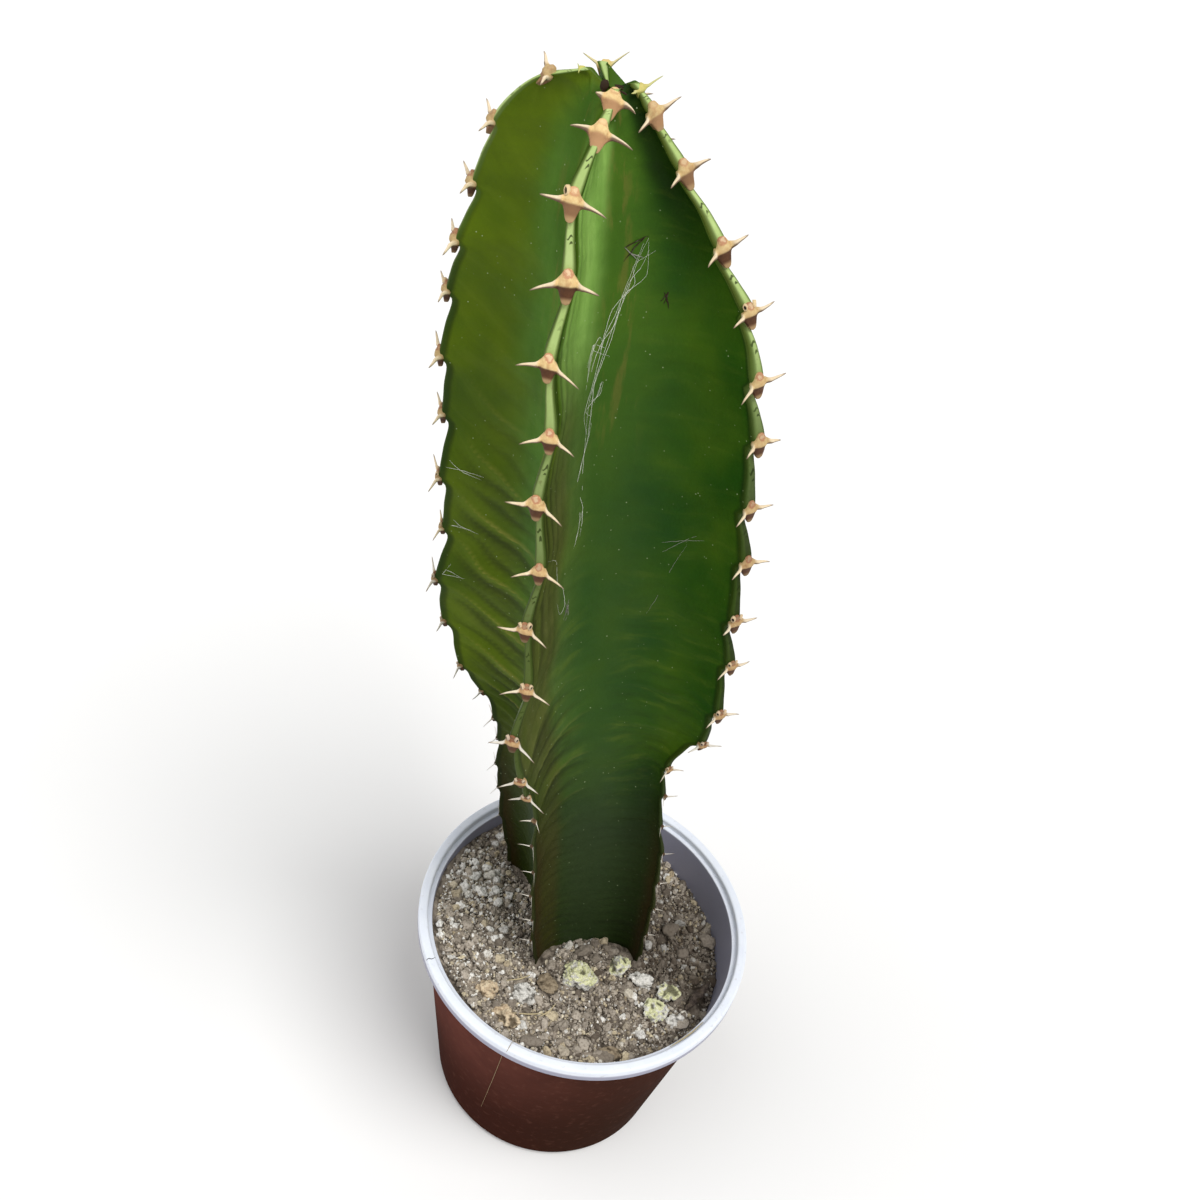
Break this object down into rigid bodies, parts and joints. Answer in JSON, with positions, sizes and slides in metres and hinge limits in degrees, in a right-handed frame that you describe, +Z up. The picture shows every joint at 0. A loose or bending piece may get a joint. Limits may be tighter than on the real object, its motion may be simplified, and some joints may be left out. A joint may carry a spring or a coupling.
{
  "type": "potted candelabra spurge",
  "caption": "Ribbed columnar succulent with paired spines, growing in gritty soil in a round nursery pot that stands on a flat surface.",
  "frame": {"origin": "centre of the pot's underside, on the surface it stands on", "axes": "+Z up along the pot's axis, +X to the right and +Y away from the front rib; the stem leans towards -X"},
  "size_m": [0.1485, 0.124, 0.4028],
  "materials": {
    "pot_sheet": "satin thermoformed sheet, dark red-brown outside and pale lavender-grey inside and over the rim",
    "soil": "dry gritty potting mix",
    "plant": "waxy green skin with pale rims, tan shields and grey-tipped spines",
    "mossy_stone": "rough pale stone with a yellow-green growth on it",
    "white_stone": "rough off-white stone",
    "tan_stone": "rough tan stone",
    "bark": "dry weathered bark"
  },
  "bodies": {
    "root": {"pot": "pot_sheet", "soil": "soil", "stem": "plant", "stone_mossy_large": "mossy_stone", "stone_mossy_by_rib": "mossy_stone", "stone_mossy_right": "mossy_stone", "stone_mossy_right_front": "mossy_stone", "stone_white_by_rib": "white_stone", "stone_white_front": "white_stone", "stone_white_right": "white_stone", "stone_tan_front": "tan_stone", "stone_tan_left": "tan_stone", "bark_flake": "bark", "bark_strip": "bark", "bark_chip": "bark"}
  },
  "joints": []
}
